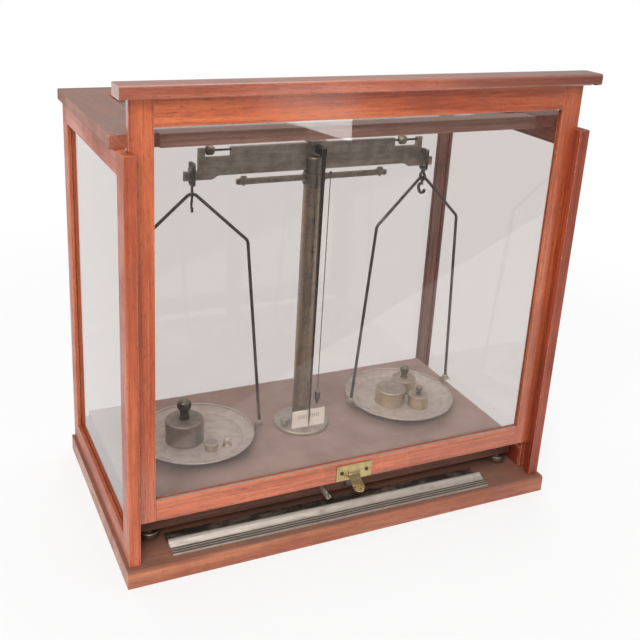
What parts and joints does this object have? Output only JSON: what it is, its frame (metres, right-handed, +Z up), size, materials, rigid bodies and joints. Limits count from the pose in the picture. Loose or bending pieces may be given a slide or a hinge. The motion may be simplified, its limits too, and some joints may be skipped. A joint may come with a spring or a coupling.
{
  "type": "apothecary scale",
  "caption": "Glass-cased equal-arm beam balance: column, knife-edge beam, hanging pans with weights, sliding front sash, on a wooden base.",
  "frame": {"origin": "centre of the underside of the base board", "axes": "+Z up, the sash and pointer face -Y, +X to the right seen from the front"},
  "size_m": [0.538, 0.3086, 0.5289],
  "materials": {
    "mahogany": "worn french polish",
    "mahogany_dusty": "dusty worn polish",
    "dark_wood": "dusty dark stain",
    "pane": "clear",
    "old_brass": "dull lacquered",
    "beam_bronze": "dull drawn",
    "lift_brass": "polished by use",
    "steel": "ground",
    "nickel": "dull nickel",
    "aluminium": "tarnished",
    "ivory": "engraved ivory-coloured plate",
    "weight_brass": "lacquered",
    "thread": "twisted line"
  },
  "bodies": {
    "case": {"base_board": "mahogany", "front_post_left": "mahogany", "front_post_right": "mahogany", "rear_post_left": "mahogany", "rear_post_right": "mahogany", "bottom_rail_left": "mahogany", "bottom_rail_right": "mahogany", "bottom_rail_rear": "mahogany", "top_rail_left": "mahogany", "top_rail_right": "mahogany", "top_rail_rear": "mahogany", "top_rail_front": "mahogany", "top_board_left": "mahogany_dusty", "top_board_right": "mahogany_dusty", "top_board_rear": "mahogany_dusty", "side_glass": "pane", "rear_glass": "pane", "top_glass": "pane", "platform": "dark_wood", "platform_rear_foot": "steel", "fixing_screws": "steel", "ribbed_strip": "aluminium", "column_flange": "old_brass", "column_tube": "old_brass", "column_head": "old_brass", "cross_arms": "old_brass", "scale_plate": "ivory"},
    "sash": {"sash_stile_left": "mahogany", "sash_stile_right": "mahogany", "sash_rail_top": "mahogany", "sash_rail_bottom": "mahogany", "sash_cap": "mahogany", "sash_glass": "pane", "sash_lift": "lift_brass", "lift_screws": "lift_brass"},
    "arrest_spindle": {"spindle": "old_brass"},
    "lift": {"lift_rod": "old_brass"},
    "balance_beam": {"beam": "beam_bronze", "beam_knives": "steel", "nut_rods": "steel", "pointer": "old_brass"},
    "left_nut": {"adjusting_nut_left": "beam_bronze"},
    "right_nut": {"adjusting_nut_right": "beam_bronze"},
    "left_stirrup": {"stirrup_left": "old_brass"},
    "right_stirrup": {"stirrup_right": "old_brass"},
    "left_hook": {"hook_left": "old_brass"},
    "right_hook": {"hook_right": "old_brass"},
    "left_bow": {"bow_left": "nickel", "pan_left": "nickel"},
    "right_bow": {"bow_right": "nickel", "pan_right": "nickel"},
    "left_weights": {"weights_left": "weight_brass"},
    "right_weights": {"weights_right": "weight_brass"},
    "left_stop": {"stop_screw_left": "steel"},
    "right_stop": {"stop_screw_right": "steel"},
    "left_level": {"levelling_screw_left": "steel"},
    "right_level": {"levelling_screw_right": "steel"},
    "clamp": {"clamp_screw": "old_brass"},
    "plumb": {"plumb_line": "thread", "plumb_bob": "old_brass"}
  },
  "joints": [
    {"name": "sash_lift_slide", "type": "slide", "parent": "case", "child": "sash", "axis": [0, 0, 1], "range_m": [-0.016, 0.18]},
    {"name": "rod_lift", "type": "slide", "parent": "case", "child": "lift", "axis": [0, 0, 1], "range_m": [0, 0.00317]},
    {"name": "spindle_turn", "type": "hinge", "parent": "case", "child": "arrest_spindle", "pos_m": [-0.026, 0, 0.044], "axis": [0, -1, 0], "range_deg": [0, 7]},
    {"name": "beam_swing", "type": "hinge", "parent": "lift", "child": "balance_beam", "pos_m": [0, 0.0141, 0.413], "axis": [0, 1, 0], "range_deg": [-1, 1]},
    {"name": "left_nut_travel", "type": "slide", "parent": "balance_beam", "child": "left_nut", "axis": [1, 0, 0], "range_m": [0, 0.0185]},
    {"name": "right_nut_travel", "type": "slide", "parent": "balance_beam", "child": "right_nut", "axis": [1, 0, 0], "range_m": [-0.005, 0.0135]},
    {"name": "left_stirrup_swing", "type": "hinge", "parent": "balance_beam", "child": "left_stirrup", "pos_m": [-0.15, 0.0141, 0.413], "axis": [0, 1, 0], "range_deg": [-1, 1]},
    {"name": "right_stirrup_swing", "type": "hinge", "parent": "balance_beam", "child": "right_stirrup", "pos_m": [0.15, 0.0141, 0.413], "axis": [0, 1, 0], "range_deg": [-1, 1]},
    {"name": "left_hook_turn", "type": "hinge", "parent": "left_stirrup", "child": "left_hook", "pos_m": [-0.15, 0.0141, 0.389], "axis": [0, 0, 1], "continuous": true},
    {"name": "right_hook_turn", "type": "hinge", "parent": "right_stirrup", "child": "right_hook", "pos_m": [0.15, 0.0141, 0.389], "axis": [0, 0, 1], "continuous": true},
    {"name": "left_bow_swing", "type": "hinge", "parent": "left_hook", "child": "left_bow", "pos_m": [-0.15, 0.0141, 0.38], "axis": [0.9744, -0.225, 0], "range_deg": [-1.2, 1.2]},
    {"name": "right_bow_swing", "type": "hinge", "parent": "right_hook", "child": "right_bow", "pos_m": [0.15, 0.0141, 0.38], "axis": [0.9932, 0.1167, 0], "range_deg": [-1.2, 1.2]},
    {"name": "left_weights_lift", "type": "slide", "parent": "left_bow", "child": "left_weights", "axis": [0, 0, 1], "range_m": [0, 0.04]},
    {"name": "right_weights_lift", "type": "slide", "parent": "right_bow", "child": "right_weights", "axis": [0, 0, 1], "range_m": [0, 0.04]},
    {"name": "left_stop_turn", "type": "hinge", "parent": "case", "child": "left_stop", "pos_m": [-0.0885, 0.0141, 0.393], "axis": [0, 0, 1], "continuous": true},
    {"name": "right_stop_turn", "type": "hinge", "parent": "case", "child": "right_stop", "pos_m": [0.0885, 0.0141, 0.393], "axis": [0, 0, 1], "continuous": true},
    {"name": "left_level_turn", "type": "hinge", "parent": "case", "child": "left_level", "pos_m": [-0.232, -0.097, 0.034], "axis": [0, 0, 1], "continuous": true},
    {"name": "right_level_turn", "type": "hinge", "parent": "case", "child": "right_level", "pos_m": [0.232, -0.097, 0.034], "axis": [0, 0, 1], "continuous": true},
    {"name": "clamp_turn", "type": "hinge", "parent": "case", "child": "clamp", "pos_m": [-0.024, 0.0115, 0.075], "axis": [0, 0, 1], "continuous": true},
    {"name": "plumb_swing", "type": "hinge", "parent": "case", "child": "plumb", "pos_m": [0.022, 0.0141, 0.3933], "axis": [1, 0, 0], "range_deg": [-2, 2]}
  ],
  "couplings": [
    {"joint": "spindle_turn", "follows": "rod_lift", "rad_per_m": 38.462},
    {"joint": "left_stirrup_swing", "follows": "beam_swing", "ratio": -1},
    {"joint": "right_stirrup_swing", "follows": "beam_swing", "ratio": -1}
  ]
}
